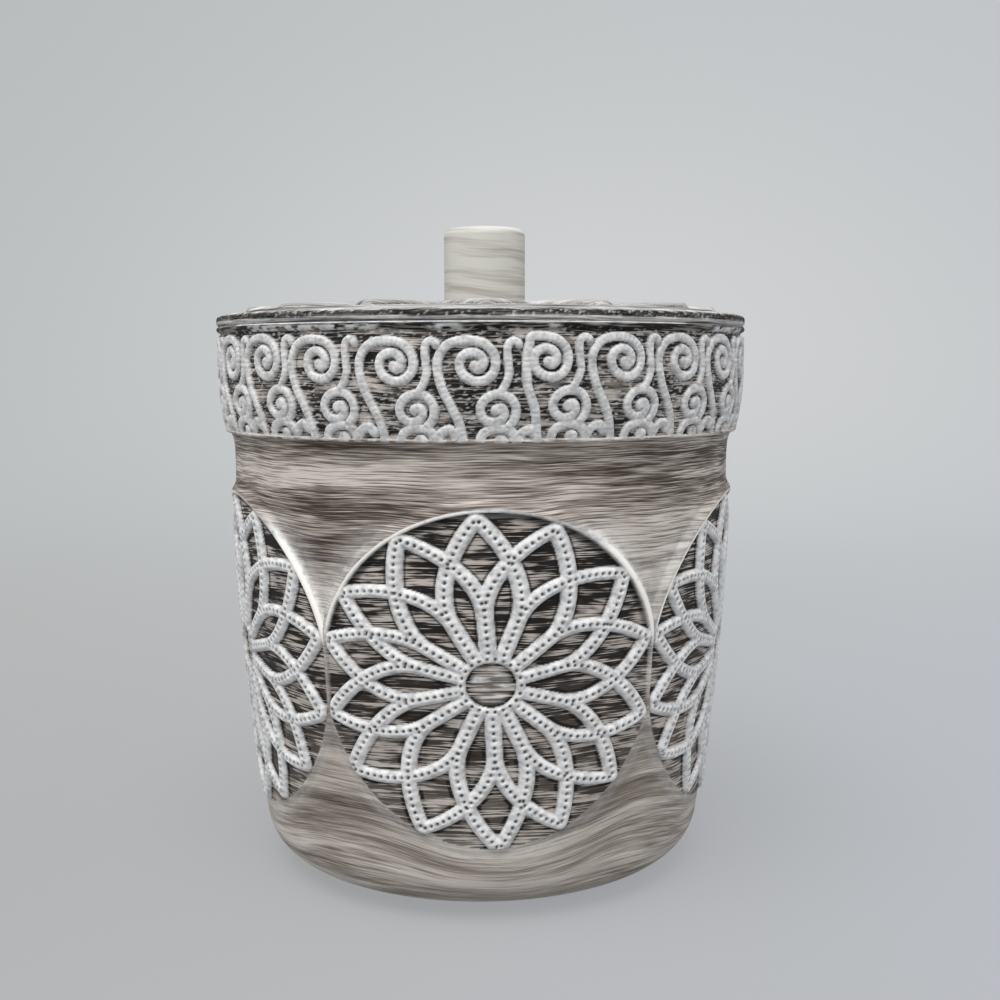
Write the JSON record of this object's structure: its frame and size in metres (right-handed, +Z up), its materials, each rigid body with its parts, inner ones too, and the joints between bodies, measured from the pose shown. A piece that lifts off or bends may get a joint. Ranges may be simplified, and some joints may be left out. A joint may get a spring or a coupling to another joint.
{
  "type": "storage jar",
  "caption": "Round lidded storage jar with a flaring wall, raised rosette medallions, a scroll-carved collar, and a flat carved lid with a cylindrical knob.",
  "frame": {"origin": "on the ground under the middle of the jar", "axes": "+Z up along the jar's axis, -Y towards the first medallion"},
  "size_m": [0.1038, 0.104, 0.1248],
  "materials": {
    "jar_resin": "dark grey-brown cast resin, dry-brushed with whitewash in level streaks; the relief is off-white",
    "lid_resin": "the same resin and whitewash, darker at the rough edge",
    "knob_whitewash": "off-white wash with fine grey-brown level streaks",
    "pad_rubber": "dark rubber sheet",
    "zinc_steel": "zinc plated"
  },
  "bodies": {
    "jar": {"jar_body": "jar_resin", "base_pad": "pad_rubber"},
    "lid": {"lid": "lid_resin", "knob": "knob_whitewash", "knob_washer": "zinc_steel", "knob_screw": "zinc_steel"}
  },
  "joints": [
    {"name": "lid_lift", "type": "slide", "parent": "jar", "child": "lid", "axis": [0, 0, 1], "range_m": [0, 0.12]}
  ]
}
